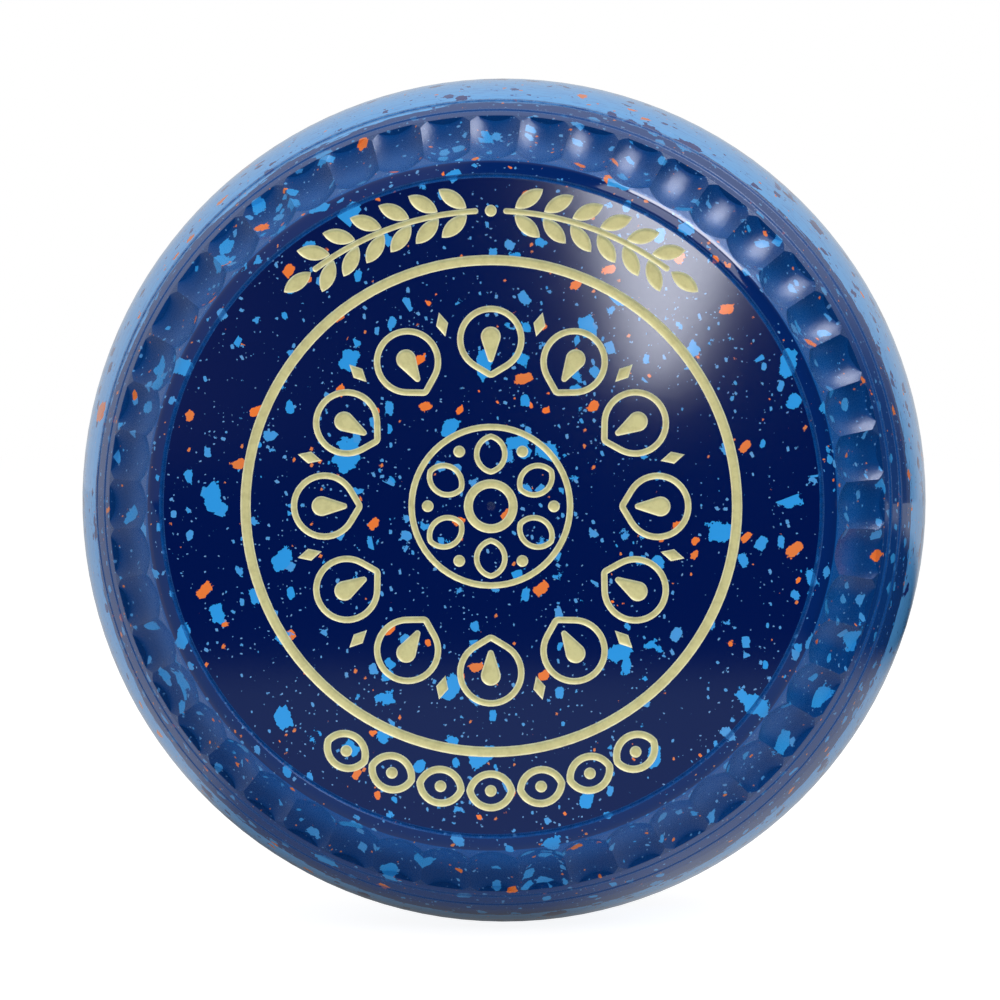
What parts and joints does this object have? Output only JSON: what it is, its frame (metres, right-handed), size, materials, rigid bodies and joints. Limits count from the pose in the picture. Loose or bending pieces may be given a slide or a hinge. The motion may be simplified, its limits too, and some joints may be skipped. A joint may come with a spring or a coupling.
{
  "type": "lawn bowl",
  "caption": "Biased lawn bowl: a weighted moulded ball with two flat engraved sides, scooped grip rings and a smooth running crown.",
  "frame": {"origin": "on the axis of revolution, halfway between the two flat side faces", "axes": "Y is the axis of revolution, -Y towards the side with the large emblem, +Y towards the bias side with the small emblem; +Z is the top of both engravings"},
  "size_m": [0.122, 0.0886, 0.122],
  "materials": {
    "crown_resin": "polished sky-blue moulding with navy and orange flecks",
    "side_resin": "polished navy moulding with sky-blue and orange flecks, satin in the scoops and grooves",
    "core_resin": "dark filled moulding compound",
    "gold_paint": "satin gold enamel in the engraving"
  },
  "bodies": {
    "root": {"centre_circle_large": "gold_paint", "centre_circle_small": "gold_paint", "core": "core_resin", "crown_band": "crown_resin", "hub_ring_large": "gold_paint", "hub_ring_small": "gold_paint", "lower_chain_large": "gold_paint", "lower_chain_small": "gold_paint", "outer_ring_large": "gold_paint", "outer_ring_small": "gold_paint", "petal_band_large": "gold_paint", "petal_band_small": "gold_paint", "rosette_large": "gold_paint", "rosette_small": "gold_paint", "side_moulding_large": "side_resin", "side_moulding_small": "side_resin", "upper_spray_large": "gold_paint", "upper_spray_small": "gold_paint"}
  },
  "joints": []
}
